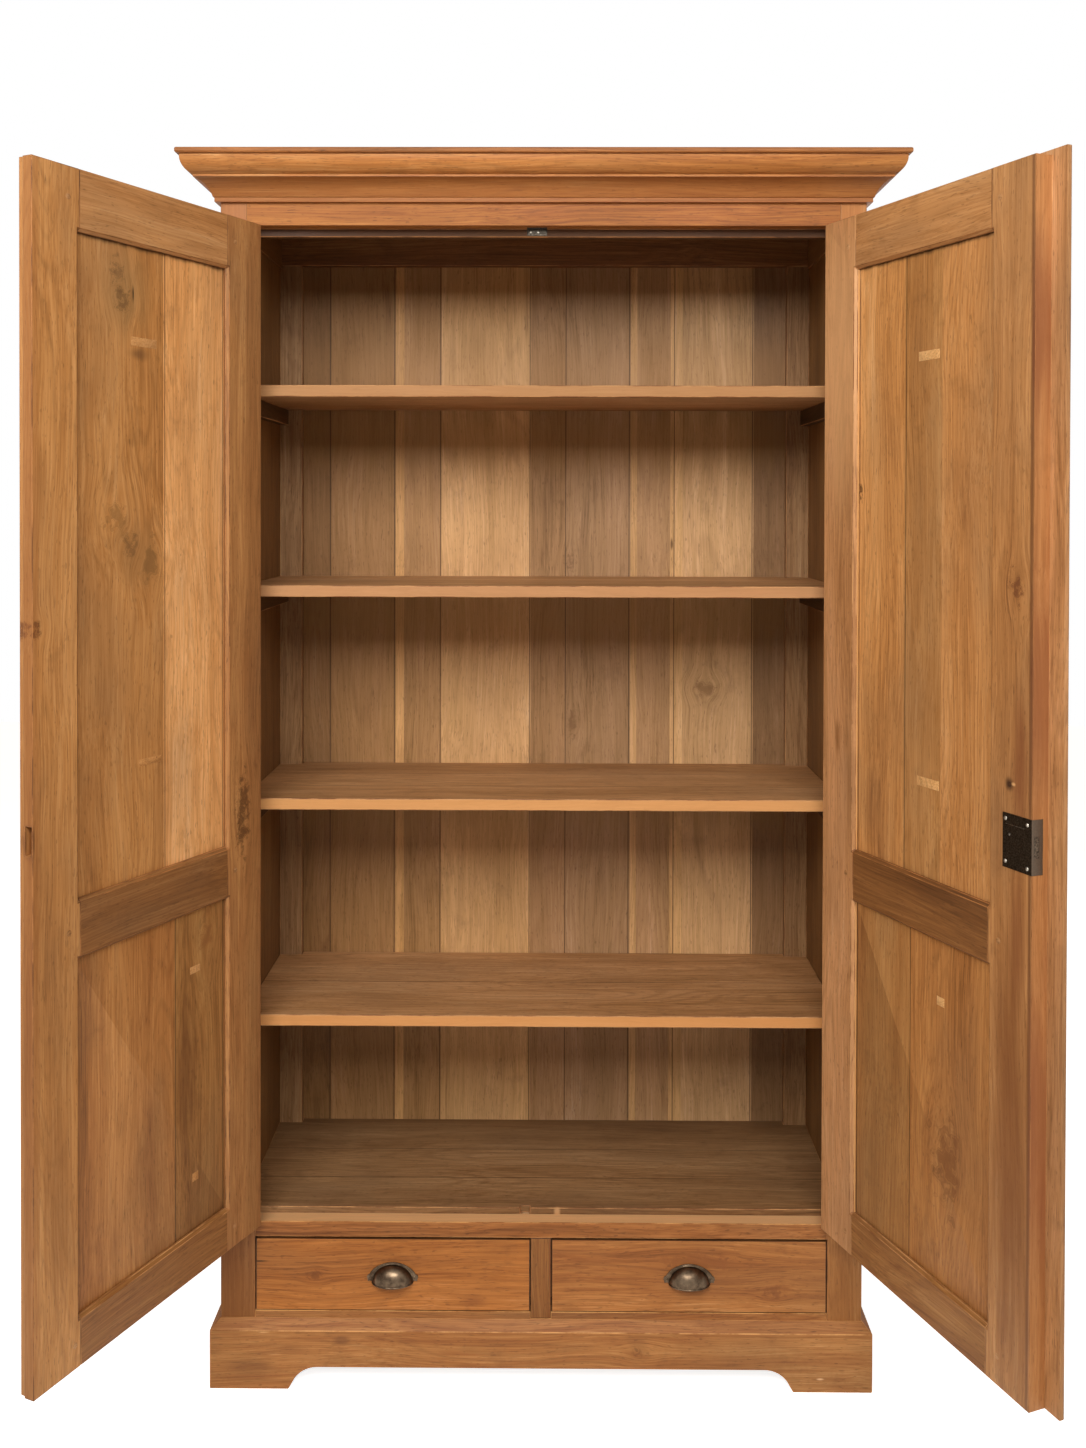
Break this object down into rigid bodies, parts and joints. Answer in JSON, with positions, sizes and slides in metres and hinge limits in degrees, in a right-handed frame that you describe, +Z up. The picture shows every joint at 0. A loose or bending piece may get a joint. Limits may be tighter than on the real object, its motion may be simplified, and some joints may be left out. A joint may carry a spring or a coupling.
{
  "type": "two-door cabinet",
  "caption": "Tall wooden linen cabinet with panelled doors, open shelves, drawers with cup pulls, a moulded cornice and a plinth with a shaped cut-out.",
  "frame": {"origin": "where the centre line of the back meets the floor, on the back face of the plinth", "axes": "+X to the right seen from the front, +Y towards the wall behind, +Z up"},
  "size_m": [1.4866, 0.9324, 2.2],
  "materials": {
    "teak_outside": "waxed, satin",
    "teak_inside": "waxed, dull",
    "drawer_wood": "planed, bare",
    "antique_bronze": "aged, satin",
    "black_iron": "blackened",
    "aged_steel": "aged"
  },
  "bodies": {
    "case": {"front_post_left": "teak_outside", "front_post_right": "teak_outside", "frieze_rail": "teak_outside", "mid_rail": "teak_outside", "bottom_rail": "teak_outside", "drawer_divider": "teak_outside", "side_rails": "teak_outside", "side_panel_left": "teak_outside", "side_panel_right": "teak_outside", "cornice_front": "teak_outside", "cornice_left": "teak_outside", "cornice_right": "teak_outside", "top_board": "teak_outside", "plinth_front": "teak_outside", "plinth_left": "teak_outside", "plinth_right": "teak_outside", "back_post_left": "teak_inside", "back_post_right": "teak_inside", "back_rails": "teak_inside", "back_boards": "teak_inside", "shelf_1": "teak_inside", "shelf_2": "teak_inside", "shelf_3": "teak_inside", "shelf_4": "teak_inside", "case_floor": "teak_inside", "shelf_cleats": "teak_inside", "ceiling_board": "teak_inside", "plinth_back": "teak_inside", "drawer_runners": "teak_inside", "top_catch": "aged_steel", "frame_hinge_leaves": "aged_steel", "hinge_pins": "aged_steel"},
    "left_door": {"left_door_hinge_stile": "teak_inside", "left_door_meeting_stile": "teak_inside", "left_door_top_rail": "teak_inside", "left_door_mid_rail": "teak_inside", "left_door_bottom_rail": "teak_inside", "left_door_upper_panel": "teak_inside", "left_door_lower_panel": "teak_inside", "left_door_hinge_leaves": "aged_steel"},
    "right_door": {"right_door_hinge_stile": "teak_inside", "right_door_meeting_stile": "teak_inside", "right_door_top_rail": "teak_inside", "right_door_mid_rail": "teak_inside", "right_door_bottom_rail": "teak_inside", "right_door_upper_panel": "teak_inside", "right_door_lower_panel": "teak_inside", "right_door_hinge_leaves": "aged_steel", "cover_strip": "teak_outside", "lock_case": "black_iron", "escutcheon": "black_iron"},
    "bolt": {"lock_bolt": "black_iron"},
    "left_drawer": {"left_drawer_front": "teak_outside", "left_drawer_box": "drawer_wood", "left_drawer_bottom": "drawer_wood", "left_cup_pull": "antique_bronze"},
    "right_drawer": {"right_drawer_front": "teak_outside", "right_drawer_box": "drawer_wood", "right_drawer_bottom": "drawer_wood", "right_cup_pull": "antique_bronze"}
  },
  "joints": [
    {"name": "left_door_hinge", "type": "hinge", "parent": "case", "child": "left_door", "pos_m": [-0.52825, -0.415, 0], "axis": [0, 0, -1], "range_deg": [-115, 60]},
    {"name": "right_door_hinge", "type": "hinge", "parent": "case", "child": "right_door", "pos_m": [0.52825, -0.415, 0], "axis": [0, 0, 1], "range_deg": [-112, 63]},
    {"name": "bolt_slide", "type": "slide", "parent": "right_door", "child": "bolt", "axis": [0.3746, -0.9272, 0], "range_m": [0, 0.01]},
    {"name": "left_drawer_slide", "type": "slide", "parent": "case", "child": "left_drawer", "axis": [0, -1, 0], "range_m": [0, 0.3]},
    {"name": "right_drawer_slide", "type": "slide", "parent": "case", "child": "right_drawer", "axis": [0, -1, 0], "range_m": [0, 0.3]}
  ]
}
